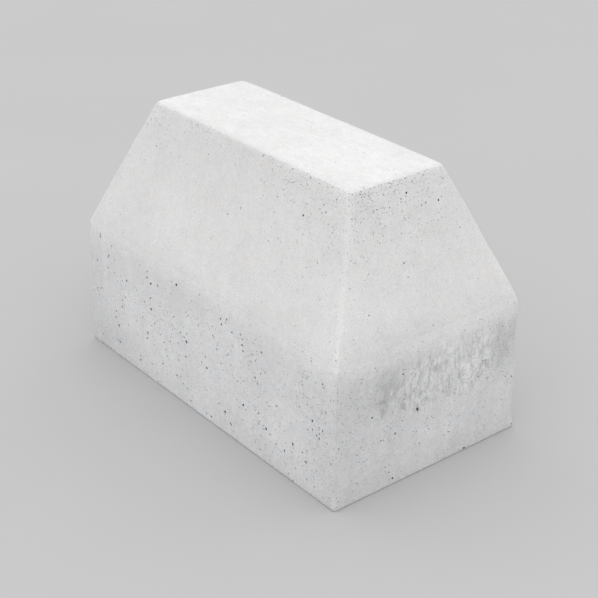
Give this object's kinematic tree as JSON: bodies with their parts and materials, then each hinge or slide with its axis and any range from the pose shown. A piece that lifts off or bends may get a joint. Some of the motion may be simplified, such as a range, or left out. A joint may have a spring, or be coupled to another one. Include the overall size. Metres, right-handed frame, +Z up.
{
  "type": "concrete traffic block",
  "caption": "Short free-standing precast concrete traffic block: rectangular foot with upright faces, four sloping faces above it and a flat narrow top.",
  "frame": {"origin": "middle of the underside, on the ground", "axes": "+X along the block, +Y across it, +Z up"},
  "size_m": [0.9, 0.5, 0.6],
  "materials": {
    "concrete": "matte",
    "reinforcing_steel": "matte",
    "socket_steel": "satin",
    "tie_wire": "satin",
    "spacer_plastic": "matte"
  },
  "bodies": {
    "root": {"concrete_body": "concrete", "end_link_left": "reinforcing_steel", "end_link_right": "reinforcing_steel", "foot_bar_back": "reinforcing_steel", "foot_bar_front": "reinforcing_steel", "long_loop_back": "reinforcing_steel", "long_loop_front": "reinforcing_steel", "profile_link_1": "reinforcing_steel", "profile_link_2": "reinforcing_steel", "profile_link_3": "reinforcing_steel", "profile_link_4": "reinforcing_steel", "profile_link_5": "reinforcing_steel", "shoulder_bar_back": "reinforcing_steel", "shoulder_bar_front": "reinforcing_steel", "socket_tail_left": "reinforcing_steel", "socket_tail_right": "reinforcing_steel", "top_bar_back": "reinforcing_steel", "top_bar_front": "reinforcing_steel", "lifting_socket_left": "socket_steel", "lifting_socket_right": "socket_steel", "tie_wires": "tie_wire", "wheel_spacers": "spacer_plastic", "end_spacers": "spacer_plastic"}
  },
  "joints": []
}
